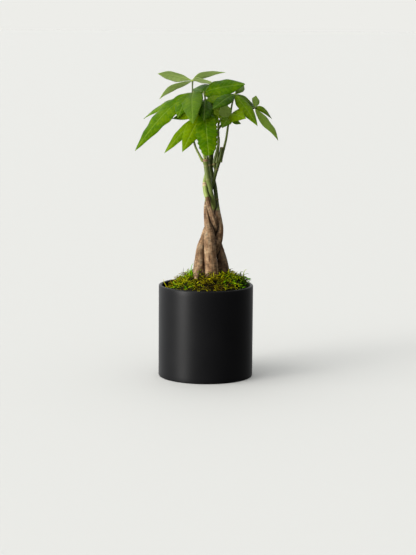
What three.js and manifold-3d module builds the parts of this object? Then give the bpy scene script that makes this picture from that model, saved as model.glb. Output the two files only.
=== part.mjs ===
import * as THREE from 'three';
import { mergeVertices } from 'three/addons/utils/BufferGeometryUtils.js';
import Module from 'manifold-3d';

const wasm = await Module();
wasm.setup();

// Potted money tree: a plain round pot, soil, a moss mound, four braided stems and ten hand-shaped leaves.
// Millimetres, +Z up. The origin is the centre of the pot's foot, and the front of the plant is towards -Y.

const GAP = 0.3; // clearance between two pieces that touch

const pot = {
  radius: 63.5, height: 124, wall: 4.5, floor: 8, rimRound: 1.9, footRound: 1.6, innerRound: 3, sides: 40,
};
const innerRadius = pot.radius - pot.wall;

const soilTop = 108;

// The mound is higher on the right, and it falls towards the wall. Broad and small lumps roughen its top.
const moss = {
  edge: 121, rise: 20, lean: 3.5, crown: 0.8, broadLump: 1.5, smallLump: 0.8, rings: 6, spokes: pot.sides,
};
const tuft = {
  count: 62, reach: 54, shortest: 3.6, tallest: 9, radius: 1.9, root: 2.5, mostLean: 0.9, seed: 11,
};
const GOLDEN_ANGLE = Math.PI * (3 - Math.sqrt(5));

// Neck is the least half width. Roof is how far the edges drop, as a share of the half width. A belly below 1
// fills the blade out towards both of its ends, and drip is what its last stretch loses. An arch below 1 is
// highest before the middle of the blade.
const blade = {
  thickness: 0.7, neck: 0.9, roof: 0.16, belly: 0.86, drip: 0.3, arch: 0.8, full: 1.05,
  stations: [0, 0.16, 0.38, 0.62, 0.84, 1], columns: [-1, -0.5, 0, 0.5, 1],
};
const petioleSize = { foot: 1.5, end: 1, knob: 2.1, sides: 6, stepsPerSpan: 3 };
const stemSize = { sides: 8, stepsPerSpan: 2 };

// Each stem is a chain of [x, y, z, radius] from its root in the soil to its cut top.
const stems = {
  stem_left: [
    [-6, -3, 86, 4.6], [-9, -5, 116, 7], [-10.2, -6.5, 140, 7.6], [-9, -6.6, 157, 6.8],
    [-7.3, -3.4, 173, 5.8], [-3.4, 0.5, 185.5, 5], [0.8, 4.5, 198, 4.5], [5.4, 7, 208.5, 4],
    [9, 5.4, 219.5, 3.7], [10.2, 1.4, 230.5, 3.3], [9.7, -2.4, 240, 3], [6.6, -5.2, 247.5, 2.8],
    [4.2, -6.2, 254, 2.8], [2.3, -6.2, 260, 2.8], [0.5, -6, 272, 2.8], [-1.9, -5.4, 285, 2.8],
    [-2.6, -5.2, 292, 3.3],
  ],
  stem_front: [
    [6, -9, 84, 5.4], [7, -13, 118, 8], [6.7, -14, 144, 8.8], [5.1, -13.6, 165, 8.2],
    [4.8, -11.6, 185.5, 7.8], [3.8, -9.4, 198, 6.3], [1.4, -6.8, 209, 4.7], [0.2, -3.2, 220, 3.8],
    [0, -0.6, 230.5, 3.2], [1.6, 1.8, 240, 2.9], [5.2, 3, 249, 2.7], [9, 1.8, 259, 2.5],
    [11.3, -1, 272, 2.3], [12.8, -2, 279, 2.4], [14.8, -2.8, 286.5, 2.7], [16.7, -3.4, 293, 3.2],
    [18.4, -4, 300, 2.4], [19.7, -4.4, 309, 2.2],
  ],
  stem_right: [
    [16, 3, 88, 4.8], [22, 4, 116, 6.8], [24, 4.4, 140, 7.2], [22.4, 5.4, 152, 6.9], [19.2, 7, 166, 6.1],
    [15.5, 8.6, 178, 5.5], [13.2, 8.8, 188, 5], [10.9, 6.6, 198.5, 4.4], [9, -0.6, 208, 3.8],
    [5.8, -8.8, 220, 3.4], [3.3, -8.6, 231, 3.2], [1.1, -7.2, 239.5, 3.1], [-1.3, -5.6, 248, 2.9],
    [-2.9, -3.6, 255, 2.4], [-3.5, -2, 259.5, 2.7], [-3.2, 1, 266, 1.6], [-2.2, 3.6, 278, 1.5],
    [-1.8, 5, 292, 1.6], [-2.6, 6.6, 305, 1.8],
  ],
  stem_back: [
    [7, 9, 86, 4.2], [6, 9, 118, 5.8], [6.4, 8.6, 145, 5.6], [9, 5.4, 161, 5.2], [12.6, 0.6, 171, 5],
    [15.6, -2.6, 179, 4.9], [17.6, -3, 188, 4.7], [18.6, -1.4, 198, 4.5], [17.7, 0.6, 208.5, 3.9],
    [16.2, 2.4, 220, 3], [14.6, 4.2, 231, 2.3], [14, 5, 243, 2], [12.7, 5.8, 255, 1.9], [11.2, 6.2, 267, 2],
    [8.6, 5.8, 274, 2.1], [6.2, 5, 280, 2.2], [5, 4.4, 288, 2.5], [4.6, 4, 301, 2.6],
  ],
};

// A leaf is a petiole from its stem to the hub, and leaflets that spread from the hub. Facing is the way that
// the upper sides look. A leaflet is its tip, its width, how far it bulges upwards as a share of its length, and
// how far out it is widest: about its middle at full 1, and nearer the tip above that.
const leaves = {
  leaf_1: {
    stem: 'stem_left', route: [[-4, -5.4, 287], [-8.4, -5, 295.5], [-16.5, -2, 318], [-19.4, 4, 360]],
    hub: [-19.7, 10, 396], facing: [0, 0.72, 0.69],
    leaflets: [
      { tip: [-66, 22, 404.5], width: 21, bulge: 0.05, full: 1.25 },
      { tip: [-62, -8, 372], width: 17, bulge: 0.12 },
      { tip: [22, 20, 407], width: 20, bulge: 0.06, full: 0.95 },
      { tip: [6, -30, 393.5], width: 13, bulge: 0.04 }, { tip: [4, 62, 402], width: 17, bulge: 0.05 },
    ],
  },
  leaf_2: {
    stem: 'stem_back', route: [[4.6, 4, 298], [4.4, 5, 309], [1, 15, 345]],
    hub: [-4, 20, 380], facing: [0, -0.7, 0.71],
    leaflets: [
      { tip: [50, 6, 392], width: 27, bulge: 0.08 }, { tip: [-19, 62, 383], width: 18, bulge: 0.1 },
      { tip: [32, 84, 380], width: 22, bulge: 0.12 }, { tip: [-26, 84, 356], width: 20, bulge: 0.14 },
    ],
  },
  leaf_3: {
    stem: 'stem_right', route: [[-2.6, 6.6, 302], [-2.4, 6.8, 314], [-8, 5, 345]],
    hub: [-17.5, -5, 381], facing: [-0.25, -0.55, 0.8],
    leaflets: [
      { tip: [-93, -32, 307], width: 29, bulge: 0.1 }, { tip: [-86, 40, 343], width: 16, bulge: 0.12 },
      { tip: [-18, -72, 344], width: 29, bulge: 0.12, full: 0.9 },
      { tip: [-44, -52, 354], width: 18, bulge: 0.12 },
    ],
  },
  leaf_4: {
    stem: 'stem_back', route: [[4.6, 3.4, 293], [3.6, -1.8, 302], [2, -6, 322], [0, -9, 348]],
    hub: [-2.9, -12, 371], facing: [0, -0.4, 0.9],
    leaflets: [
      { tip: [-4, -62, 347], width: 16, bulge: 0.1 }, { tip: [21, -2, 374], width: 12, bulge: 0.06 },
      { tip: [13, -26, 352], width: 15, bulge: 0.08 },
    ],
  },
  leaf_5: {
    stem: 'stem_left', route: [[-2.6, -7, 290], [-2.8, -12, 298], [-2.6, -20, 325]],
    hub: [-3.9, -28, 357], facing: [-0.1, -0.85, 0.52],
    leaflets: [
      { tip: [3.4, -80, 305], width: 30, bulge: 0.12, full: 1.75 },
      { tip: [-31, -62, 308], width: 25, bulge: 0.12, full: 1.1 },
      { tip: [-54, -34, 303.5], width: 18, bulge: 0.12, full: 1.2 },
      { tip: [-42, -20, 350], width: 12, bulge: 0.1 }, { tip: [16, -36, 345], width: 14, bulge: 0.08 },
    ],
  },
  leaf_6: {
    stem: 'stem_front',
    route: [[17.8, -3.2, 289], [21.2, -2, 302], [24.6, 2, 320], [27.8, 8, 338], [34.4, 9, 360]],
    hub: [36.6, 3, 378.4], facing: [0.1, -0.5, 0.86],
    leaflets: [
      { tip: [51, 60, 390], width: 18, bulge: 0.08 }, { tip: [66.4, -30, 339.5], width: 23, bulge: 0.12 },
      { tip: [8.4, -46, 359.5], width: 19, bulge: 0.1 }, { tip: [63.5, 45, 360], width: 12, bulge: 0.12 },
      { tip: [20, 62, 360], width: 18, bulge: 0.08 },
    ],
  },
  leaf_7: {
    stem: 'stem_back', route: [[5.4, 4.6, 291], [9, 6.6, 301], [9, 11, 328], [18, 17, 345], [44, 15, 355]],
    hub: [63.9, 5, 361], facing: [0.3, -0.5, 0.8],
    leaflets: [
      { tip: [65.4, 48, 374], width: 12, bulge: 0.08, full: 1.3 },
      { tip: [87, 28, 345], width: 16, bulge: 0.12 }, { tip: [94.4, -8, 319], width: 19, bulge: 0.1 },
      { tip: [50, 50, 352], width: 13, bulge: 0.1 },
    ],
  },
  leaf_8: {
    stem: 'stem_front', route: [[13.2, -4.2, 288], [15.6, -7, 303], [16.4, -8, 318], [16.8, -8, 333]],
    hub: [29, -5, 346], facing: [0.1, -0.8, 0.6],
    leaflets: [
      { tip: [51, -30, 349], width: 20, bulge: 0.12 }, { tip: [19.5, -46, 337], width: 15, bulge: 0.14 },
      { tip: [45, -2, 338], width: 10, bulge: 0.1 }, { tip: [21, -6, 366], width: 15, bulge: 0.06 },
    ],
  },
  leaf_9: {
    stem: 'stem_back', route: [[4.9, 4.6, 284], [4.8, 9.6, 294], [5.4, 18, 318], [6, 35, 348]],
    hub: [4, 50, 364], facing: [0.1, 0.7, 0.7],
    leaflets: [
      { tip: [29, 92, 350], width: 21, bulge: 0.12 }, { tip: [-1, 100, 336], width: 24, bulge: 0.12 },
      { tip: [-30, 86, 346], width: 20, bulge: 0.12 }, { tip: [26, 56, 338], width: 14, bulge: 0.1 },
    ],
  },
  leaf_10: {
    stem: 'stem_right', route: [[-2.4, 6, 295], [-5.8, 9.8, 304], [-10, 16, 323], [-22, 27, 345]],
    hub: [-32, 34, 357], facing: [-0.3, 0.5, 0.8],
    leaflets: [
      { tip: [-66, 66, 354], width: 16, bulge: 0.1 }, { tip: [-58, 84, 344], width: 20, bulge: 0.12 },
      { tip: [-62, 8, 352], width: 15, bulge: 0.06 },
    ],
  },
};

const finish = {
  pot: { color: 0x26262a, roughness: 0.55, metalness: 0 },
  soil: { color: 0x2c2119, roughness: 0.95, metalness: 0 },
  moss: { color: 0x6f7a1c, roughness: 0.9, metalness: 0 },
  stem: { color: 0x8b6f54, roughness: 0.75, metalness: 0 },
  leaf: { color: 0x4c8a1c, roughness: 0.45, metalness: 0 },
};

const vector = (xyz) => new THREE.Vector3(xyz[0], xyz[1], xyz[2]);

// A closed mesh from a list of points and a list of triangles.
function closedMesh(points, triangles) {
  const geometry = new THREE.BufferGeometry();
  const flat = points.flatMap((p) => [p.x, p.y, p.z]);
  geometry.setAttribute('position', new THREE.Float32BufferAttribute(flat, 3));
  geometry.setIndex(triangles.flat());
  return geometry;
}

function solid(geometry) {
  const bare = geometry.clone();
  bare.deleteAttribute('normal');
  bare.deleteAttribute('uv');
  const merged = mergeVertices(bare, 1e-4);
  return new wasm.Manifold(new wasm.Mesh({
    numProp: 3,
    vertProperties: new Float32Array(merged.attributes.position.array),
    triVerts: new Uint32Array(merged.index.array),
  }));
}

function toGeometry(manifold) {
  const mesh = manifold.getMesh();
  const geometry = new THREE.BufferGeometry();
  geometry.setAttribute('position', new THREE.BufferAttribute(new Float32Array(mesh.vertProperties), 3));
  geometry.setIndex(new THREE.BufferAttribute(new Uint32Array(mesh.triVerts), 1));
  geometry.computeVertexNormals();
  return geometry;
}

// A cut can leave scraps beside the piece itself, and only the largest body is kept.
function largest(manifold) {
  return manifold.decompose().reduce((best, body) => (body.volume() > best.volume() ? body : best));
}

function unite(bodies) {
  return bodies.reduce((sum, body) => sum.add(body));
}

// Points and radii follow one uniform Catmull-Rom curve, so that both share their parameter.
function alongChain(chain, steps) {
  const curve = (points) => new THREE.CatmullRomCurve3(points, false, 'catmullrom', 0.5);
  const route = curve(chain.map(vector));
  const girth = curve(chain.map(([, , , radius]) => new THREE.Vector3(radius, 0, 0)));
  return Array.from({ length: steps + 1 }, (_, i) => ({
    at: route.getPoint(i / steps),
    along: route.getTangent(i / steps),
    radius: girth.getPoint(i / steps).x,
  }));
}

// A tube with flat ends, whose rings carry one frame along so that they don't twist.
function tube(chain, { sides, steps, grow = 0 }) {
  const points = [];
  const triangles = [];
  let side = new THREE.Vector3(0, -1, 0);
  const stations = alongChain(chain, steps);
  stations.forEach(({ at, along, radius }, i) => {
    if (i === 0) at.addScaledVector(along, -grow);
    if (i === steps) at.addScaledVector(along, grow);
    side = side.clone().addScaledVector(along, -side.dot(along)).normalize();
    const across = new THREE.Vector3().crossVectors(along, side);
    for (let k = 0; k < sides; k += 1) {
      const turn = (2 * Math.PI * k) / sides;
      points.push(at.clone()
        .addScaledVector(side, Math.cos(turn) * (radius + grow))
        .addScaledVector(across, Math.sin(turn) * (radius + grow)));
    }
  });
  for (let i = 0; i < steps; i += 1) {
    for (let k = 0; k < sides; k += 1) {
      const a = i * sides + k;
      const b = i * sides + ((k + 1) % sides);
      triangles.push([a, b, b + sides], [a, b + sides, a + sides]);
    }
  }
  const first = points.push(stations[0].at) - 1;
  const last = points.push(stations[steps].at) - 1;
  for (let k = 0; k < sides; k += 1) {
    const next = (k + 1) % sides;
    triangles.push([first, next, k], [last, steps * sides + k, steps * sides + next]);
  }
  return closedMesh(points, triangles);
}

// A ring of profile points [radius, height] turned about Z, closed on the axis.
function turned(profile, sides) {
  const lathe = new THREE.LatheGeometry(profile.map(([r, z]) => new THREE.Vector2(r, z)), sides);
  lathe.rotateX(Math.PI / 2);
  return lathe;
}

function arc(cx, cz, radius, from, to, steps) {
  return Array.from({ length: steps + 1 }, (_, i) => {
    const angle = THREE.MathUtils.degToRad(from + ((to - from) * i) / steps);
    return [cx + radius * Math.cos(angle), cz + radius * Math.sin(angle)];
  });
}

function potBody() {
  const { radius, height, floor, rimRound, footRound, innerRound, sides } = pot;
  const profile = [
    [0, 0],
    ...arc(radius - footRound, footRound, footRound, -90, 0, 2),
    ...arc(radius - rimRound, height - rimRound, rimRound, 0, 90, 3),
    ...arc(innerRadius + rimRound, height - rimRound, rimRound, 90, 180, 3),
    ...arc(innerRadius - innerRound, floor + innerRound, innerRound, 0, -90, 2),
    [0, floor],
  ];
  return solid(turned(profile, sides));
}

function stemTube(name, grow) {
  const steps = (stems[name].length - 1) * stemSize.stepsPerSpan;
  return solid(tube(stems[name], { sides: stemSize.sides, steps, grow }));
}

// The room that all four stems need, with their clearance.
const stemNames = Object.keys(stems);
const grownStems = unite(stemNames.map((name) => stemTube(name, GAP)));

// Where two stems press on each other, the later one is flattened.
function stemBody(name) {
  const earlier = stemNames.slice(0, stemNames.indexOf(name));
  return largest(earlier.reduce((body, other) => body.subtract(stemTube(other, GAP)), stemTube(name, 0)));
}

function soilBody() {
  const radius = innerRadius - GAP;
  const base = pot.floor + GAP;
  const profile = [
    [0, base],
    ...arc(radius - pot.innerRound, base + pot.innerRound, pot.innerRound, -90, 0, 2),
    [radius, soilTop],
    [0, soilTop],
  ];
  return solid(turned(profile, pot.sides)).subtract(grownStems);
}

function mossHeight(x, y) {
  const share = Math.min(1, Math.hypot(x, y) / innerRadius);
  const dome = moss.edge + moss.rise * Math.pow(1 - share * share, moss.crown);
  const mound = dome + moss.lean * (x / innerRadius);
  const broad = moss.broadLump * Math.sin(0.31 * x + 0.8) * Math.cos(0.27 * y);
  const small = moss.smallLump * Math.sin(0.62 * x - 0.55 * y);
  return mound + broad + small;
}

// A seeded draw of numbers from 0 to 1.
function draws(seed) {
  let state = seed;
  return () => {
    state = (state * 1664525 + 1013904223) % 4294967296;
    return state / 4294967296;
  };
}

// The mound is a disc of rings and spokes whose top follows the height formula, on a flat underside.
function mossMound() {
  const { rings, spokes } = moss;
  const outer = innerRadius - GAP;
  const under = soilTop + GAP;
  const points = [];
  const triangles = [];
  const addRing = (radius, heightAt) => {
    for (let k = 0; k < spokes; k += 1) {
      const turn = (2 * Math.PI * k) / spokes;
      const x = radius * Math.cos(turn);
      const y = radius * Math.sin(turn);
      points.push(new THREE.Vector3(x, y, heightAt(x, y)));
    }
  };
  for (let ring = 1; ring <= rings; ring += 1) addRing((outer * ring) / rings, mossHeight);
  addRing(outer, () => under);
  const top = points.push(new THREE.Vector3(0, 0, mossHeight(0, 0))) - 1;
  const bottom = points.push(new THREE.Vector3(0, 0, under)) - 1;
  for (let k = 0; k < spokes; k += 1) {
    const next = (k + 1) % spokes;
    triangles.push([top, k, next], [bottom, rings * spokes + next, rings * spokes + k]);
    for (let ring = 0; ring < rings; ring += 1) {
      const [a, b] = [ring * spokes + k, ring * spokes + next];
      triangles.push([a, a + spokes, b + spokes], [a, b + spokes, b]);
    }
  }
  return solid(closedMesh(points, triangles));
}

// A tuft is a three-sided spike that leans, with its root sunk into the mound.
function mossTuft(x, y, height, lean, heading) {
  const spike = new THREE.ConeGeometry(tuft.radius, height + tuft.root, 3, 1);
  spike.rotateX(Math.PI / 2);
  spike.translate(0, 0, (height - tuft.root) / 2);
  spike.rotateY(lean);
  spike.rotateZ(heading);
  spike.translate(x, y, mossHeight(x, y));
  return solid(spike);
}

function mossBody() {
  const draw = draws(tuft.seed);
  const bodies = [mossMound()];
  for (let i = 0; i < tuft.count; i += 1) {
    const radius = tuft.reach * Math.sqrt((i + 0.5) / tuft.count);
    const turn = i * GOLDEN_ANGLE;
    const height = THREE.MathUtils.lerp(tuft.shortest, tuft.tallest, draw());
    const lean = tuft.mostLean * draw();
    const heading = 2 * Math.PI * draw();
    bodies.push(mossTuft(radius * Math.cos(turn), radius * Math.sin(turn), height, lean, heading));
  }
  return largest(unite(bodies).subtract(grownStems));
}

// Half of the blade's width from its foot at 0 to its drip tip at 1, as a share of the full half.
function bladeShare(s, full) {
  return Math.pow(Math.sin(Math.PI * Math.pow(s, full)), blade.belly) * (1 - blade.drip * Math.pow(s, 7));
}

// A leaflet arches from the hub to its tip. Five points across its upper side and five below it are joined
// alike, so that the thin blade never crosses itself.
function leaflet(hub, facing, { tip, width, bulge, full = blade.full }) {
  const chord = tip.clone().sub(hub);
  const length = chord.length();
  const ahead = chord.clone().normalize();
  const up = facing.clone().addScaledVector(ahead, -facing.dot(ahead)).normalize();
  const centre = (s) => hub.clone()
    .addScaledVector(chord, s)
    .addScaledVector(up, bulge * length * Math.sin(Math.PI * Math.pow(s, blade.arch)));
  const step = 0.02;
  const points = [];
  const triangles = [];
  blade.stations.forEach((s) => {
    const along = centre(Math.min(1, s + step)).sub(centre(Math.max(0, s - step))).normalize();
    const across = new THREE.Vector3().crossVectors(along, up).normalize();
    const out = new THREE.Vector3().crossVectors(across, along);
    const half = Math.max(blade.neck, (width / 2) * bladeShare(s, full));
    [0, -blade.thickness].forEach((depth) => {
      blade.columns.forEach((c) => {
        const fall = -blade.roof * half * c * c;
        points.push(centre(s).addScaledVector(across, half * c).addScaledVector(out, fall + depth));
      });
    });
  });
  const count = blade.columns.length;
  const row = 2 * count;
  const rows = blade.stations.length;
  for (let i = 0; i + 1 < rows; i += 1) {
    const a = i * row;
    for (let k = 0; k + 1 < count; k += 1) {
      const top = a + k;
      const under = top + count;
      triangles.push([top, top + row + 1, top + row], [top, top + 1, top + row + 1]);
      triangles.push([under, under + row, under + row + 1], [under, under + row + 1, under + 1]);
    }
    [[a, a + count], [a + row - 1, a + count - 1]].forEach(([p, q]) => {
      triangles.push([p, p + row, q + row], [p, q + row, q]);
    });
  }
  for (let k = 0; k + 1 < count; k += 1) {
    const foot = k;
    const end = (rows - 1) * row + k;
    triangles.push([foot, foot + count, foot + count + 1], [foot, foot + count + 1, foot + 1]);
    triangles.push([end, end + count + 1, end + count], [end, end + 1, end + count + 1]);
  }
  return solid(closedMesh(points, triangles));
}

function petiole(route, hub) {
  const chain = [...route, hub].map((p, i, all) => {
    const share = i / (all.length - 1);
    return [...p, THREE.MathUtils.lerp(petioleSize.foot, petioleSize.end, share)];
  });
  const steps = (chain.length - 1) * petioleSize.stepsPerSpan;
  return solid(tube(chain, { sides: petioleSize.sides, steps }));
}

function leafBody({ stem, route, hub, facing, leaflets }) {
  const centre = vector(hub);
  const knob = new THREE.IcosahedronGeometry(petioleSize.knob, 0);
  knob.translate(...hub);
  const looks = vector(facing).normalize();
  const blades = leaflets.map((one) => leaflet(centre, looks, { ...one, tip: vector(one.tip) }));
  const whole = unite([petiole(route, hub), solid(knob), ...blades]);
  return largest(whole.subtract(stemTube(stem, GAP)));
}

const plant = new THREE.Group();

function addPiece(name, body, { color, roughness, metalness }) {
  const material = new THREE.MeshStandardMaterial({ color, roughness, metalness });
  const mesh = new THREE.Mesh(toGeometry(body), material);
  mesh.name = name;
  plant.add(mesh);
}

addPiece('pot', potBody(), finish.pot);
addPiece('soil', soilBody(), finish.soil);
addPiece('moss', mossBody(), finish.moss);
stemNames.forEach((name) => addPiece(name, stemBody(name), finish.stem));
Object.entries(leaves).forEach(([name, leaf]) => addPiece(name, leafBody(leaf), finish.leaf));

export default plant;
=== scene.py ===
# The looks of a small potted money tree: black pot, moss, a trunk of four braided stems and hand-shaped
# leaves. The values below are in millimetres, and makePiece turns them to metres.
import math
from functools import partial

import bpy
import numpy as np
from mathutils import Matrix, Vector, noise


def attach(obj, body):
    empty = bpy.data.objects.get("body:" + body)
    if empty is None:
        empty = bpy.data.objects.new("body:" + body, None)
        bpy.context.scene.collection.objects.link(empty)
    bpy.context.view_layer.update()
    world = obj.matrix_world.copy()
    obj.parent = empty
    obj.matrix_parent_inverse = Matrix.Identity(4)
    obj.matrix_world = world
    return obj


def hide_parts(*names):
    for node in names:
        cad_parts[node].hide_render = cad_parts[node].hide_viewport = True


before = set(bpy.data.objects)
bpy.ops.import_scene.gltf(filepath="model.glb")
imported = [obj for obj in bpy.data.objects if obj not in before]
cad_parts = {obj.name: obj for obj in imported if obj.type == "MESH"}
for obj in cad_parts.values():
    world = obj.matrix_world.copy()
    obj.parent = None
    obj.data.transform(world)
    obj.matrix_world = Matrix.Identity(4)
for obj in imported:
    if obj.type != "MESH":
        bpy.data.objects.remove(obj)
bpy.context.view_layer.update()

mm = 0.001
fullTurn = 6.28
draw = np.random.default_rng(7)
print("frame loaded:", len(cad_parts), "solids")


# Shared tools

def linear(hexColour):
    # "#rrggbb" to the linear colour that a shader takes
    channels = [int(hexColour[i:i + 2], 16) / 255 for i in (1, 3, 5)]
    return tuple(c / 12.92 if c <= 0.04045 else ((c + 0.055) / 1.055) ** 2.4 for c in channels) + (1.0,)


def addNode(tree, kind, inputs={}, stops=(), **settings):
    # Gives the new node's outputs. Inputs are sockets to link, or values and "#rrggbb" colours to set. Stops
    # are the places and colours of a ramp.
    made = tree.nodes.new("ShaderNode" + kind)
    for name, value in settings.items():
        setattr(made, name, value)
    for key, value in inputs.items():
        if isinstance(value, bpy.types.NodeSocket):
            tree.links.new(value, made.inputs[key])
        else:
            made.inputs[key].default_value = linear(value) if isinstance(value, str) else value
    for i, (place, colour) in enumerate(stops):
        elements = made.color_ramp.elements
        stop = elements[i] if i < len(elements) else elements.new(place)
        stop.position = place
        stop.color = linear(colour)
    return made.outputs


def emptied(owner):
    # Gives addNode for the cleared tree of a material or a world
    owner.use_nodes = True
    owner.node_tree.nodes.clear()
    return partial(addNode, owner.node_tree)


def newMaterial(name, surface, *settings):
    # surface adds its nodes with the function that it is given, and gives the last one's outputs
    made = bpy.data.materials.new(name)
    node = emptied(made)
    node("OutputMaterial", {"Surface": surface(node, *settings)[0]})
    return made


def addObject(name, data):
    made = bpy.data.objects.new(name, data)
    bpy.context.scene.collection.objects.link(made)
    return made


def perMetre(size):
    # A noise scale for features of this many millimetres, on coordinates in metres
    return 1000 / size


def makePiece(name, parts, materials, stands=()):
    # A part has points, and faces as a list of arrays with one row of corners for each face. It may have
    # wearing, the material of each face. Anything else in it is a vector for each point, which the shader
    # reads.
    mesh = bpy.data.meshes.new(name)
    points = np.vstack([part["points"] for part in parts])
    faces, first = [], 0
    for part in parts:
        faces += [rows + first for rows in part["faces"]]
        first += len(part["points"])
    corners = np.concatenate([rows.ravel() for rows in faces])
    sizes = np.concatenate([np.full(len(rows), rows.shape[1]) for rows in faces])
    mesh.vertices.add(len(points))
    mesh.vertices.foreach_set("co", (points * mm).ravel())
    mesh.loops.add(len(corners))
    mesh.loops.foreach_set("vertex_index", corners.astype(np.int32))
    mesh.polygons.add(len(sizes))
    mesh.polygons.foreach_set("loop_start", (np.cumsum(sizes) - sizes).astype(np.int32))
    for key in parts[0]:
        if key == "wearing":
            wearing = np.concatenate([part["wearing"] for part in parts])
            mesh.polygons.foreach_set("material_index", wearing.astype(np.int32))
        elif key not in ("points", "faces"):
            vectors = np.vstack([part[key] for part in parts])
            layer = mesh.attributes.new(key, "FLOAT_VECTOR", "POINT")
            layer.data.foreach_set("vector", vectors.astype(np.float32).ravel())
    mesh.update(calc_edges=True)
    mesh.validate()
    mesh.shade_smooth()
    for material in materials:
        mesh.materials.append(material)
    piece = addObject(name, mesh)
    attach(piece, "root")
    if stands:
        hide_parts(*stands)


def smoothStep(low, high, value):
    t = np.clip((value - low) / (high - low), 0, 1)
    return t * t * (3 - 2 * t)


def unit(vectors):
    vectors = np.asarray(vectors, float)
    return vectors / np.linalg.norm(vectors, axis=-1, keepdims=True)


def roughField(points, size):
    # Smooth noise from -1 to 1 with features of about this size, which may differ by axis
    return np.array([noise.noise(Vector(p)) for p in np.asarray(points) / size])


def smoothChain(chain, stepsPerSpan=12):
    # One uniform Catmull-Rom curve through every row, in all of its columns
    rows = np.array(chain, float)
    padded = np.vstack([2 * rows[0] - rows[1], rows, 2 * rows[-1] - rows[-2]])
    line = []
    for i in range(len(rows) - 1):
        a, b, c, d = padded[i:i + 4]
        for t in np.arange(stepsPerSpan) / stepsPerSpan:
            bend = (2 * a - 5 * b + 4 * c - d) * t ** 2 + (3 * b - a - 3 * c + d) * t ** 3
            line.append(0.5 * (2 * b + (c - a) * t + bend))
    return np.vstack([line, rows[-1:]])


def evenly(line, step):
    # The same line with rows this far apart, and how far along each row is
    run = np.concatenate([[0], np.cumsum(np.linalg.norm(np.diff(line[:, :3], axis=0), axis=1))])
    marks = np.linspace(0, run[-1], max(3, round(run[-1] / step) + 1))
    return np.column_stack([np.interp(marks, run, column) for column in line.T]), marks


def carriedFrames(places):
    # Along, side and across at each place; the side is carried on so that nothing twists
    along = unit(np.gradient(places, axis=0))
    side = np.array((0.0, -1.0, 0.0))
    sides = []
    for direction in along:
        side = unit(side - direction * side.dot(direction))
        sides.append(side)
    return along, np.array(sides), np.cross(along, sides)


def tubeFaces(rings, sides):
    # Quads between the rings, and a fan at each end to two centre points that follow the rings
    ring, k = np.meshgrid(np.arange(rings - 1), np.arange(sides), indexing="ij")
    a = (ring * sides + k).ravel()
    b = (ring * sides + (k + 1) % sides).ravel()
    quads = np.column_stack([a, b, b + sides, a + sides])
    here = np.arange(sides)
    after = (here + 1) % sides
    foot = rings * sides
    last = (rings - 1) * sides
    footFan = np.column_stack([np.full(sides, foot), after, here])
    headFan = np.column_stack([np.full(sides, foot + 1), last + here, last + after])
    return [quads, np.vstack([footFan, headFan])]


def tubePoints(places, radii, sides, dish=0.0):
    # radii has one row for each place and one column for each side
    along, side, across = carriedFrames(places)
    turn = 2 * np.pi * np.arange(sides) / sides
    outward = side[:, None] * np.cos(turn)[None, :, None] + across[:, None] * np.sin(turn)[None, :, None]
    skin = places[:, None] + outward * radii[:, :, None]
    ends = np.vstack([places[0], places[-1] - along[-1] * dish])
    return np.vstack([skin.reshape(-1, 3), ends])


def roundTube(line, girth, sides, material, **rows):
    # One part. Each of rows has a vector for every place on the line, which the whole ring there takes.
    faces = tubeFaces(len(line), sides)
    return {
        "points": tubePoints(line, np.repeat(girth[:, None], sides, axis=1), sides), "faces": faces,
        "wearing": np.full(sum(len(some) for some in faces), material),
        **{key: np.vstack([np.repeat(row, sides, axis=0), row[[0, -1]]]) for key, row in rows.items()},
    }


# Pot

pot = {
    "radius": 63.5, "height": 124, "wall": 4.5, "floor": 8, "rimRound": 1.9, "footRound": 1.6,
    "innerRound": 3, "sides": 224, "arcSteps": 7, "wallRows": 8, "wallMargin": 6,
    "glaze": "#08080a", "glazeLight": "#0d0d0e", "roughness": (0.37, 0.43), "cloud": 38, "grain": 1.1,
    "bisque": "#4a4038", "bisqueDark": "#2f2823", "speck": 1.6,
}
innerRadius = pot["radius"] - pot["wall"]


def blackGlaze(node):
    # Stoneware with a matt black glaze. It gives one broad soft sheen, no mirror image, and a faint eggshell
    # grain.
    place = node("TexCoord")["Object"]
    cloud = node("TexNoise", {"Vector": place, "Scale": perMetre(pot["cloud"]), "Detail": 3.0})
    grain = node("TexNoise", {"Vector": place, "Scale": perMetre(pot["grain"]), "Detail": 4.0})
    tint = node("Mix", {0: cloud["Fac"], 6: pot["glaze"], 7: pot["glazeLight"]}, data_type="RGBA")
    dulled = node("MapRange", {
        "Value": cloud["Fac"], "From Min": 0.3, "From Max": 0.7,
        "To Min": pot["roughness"][0], "To Max": pot["roughness"][1],
    })
    # A real glaze's grain is about 0.4 mm; it is 1.1 mm here so that it shows
    relief = node("Bump", {"Height": grain["Fac"], "Strength": 0.12, "Distance": 0.12 * mm})
    return node("BsdfPrincipled", {
        "Base Color": tint[2], "Roughness": dulled[0], "Normal": relief[0],
        "Specular IOR Level": 0.15, "IOR": 1.5,
    })


def bareBisque(node):
    # The unglazed foot of fired stoneware: dry, brown grey and speckled.
    place = node("TexCoord")["Object"]
    speck = node("TexNoise", {"Vector": place, "Scale": perMetre(pot["speck"]), "Detail": 5.0})
    tint = node("ValToRGB", {"Fac": speck["Fac"]}, stops=[(0.35, pot["bisqueDark"]), (0.62, pot["bisque"])])
    relief = node("Bump", {"Height": speck["Fac"], "Strength": 0.4, "Distance": 0.2 * mm})
    return node("BsdfPrincipled", {"Base Color": tint[0], "Roughness": 0.9, "Normal": relief[0]})


def arc(cx, cz, radius, start, end):
    angles = np.radians(np.linspace(start, end, pot["arcSteps"] + 1))
    return np.column_stack([cx + radius * np.cos(angles), cz + radius * np.sin(angles)])


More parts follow.
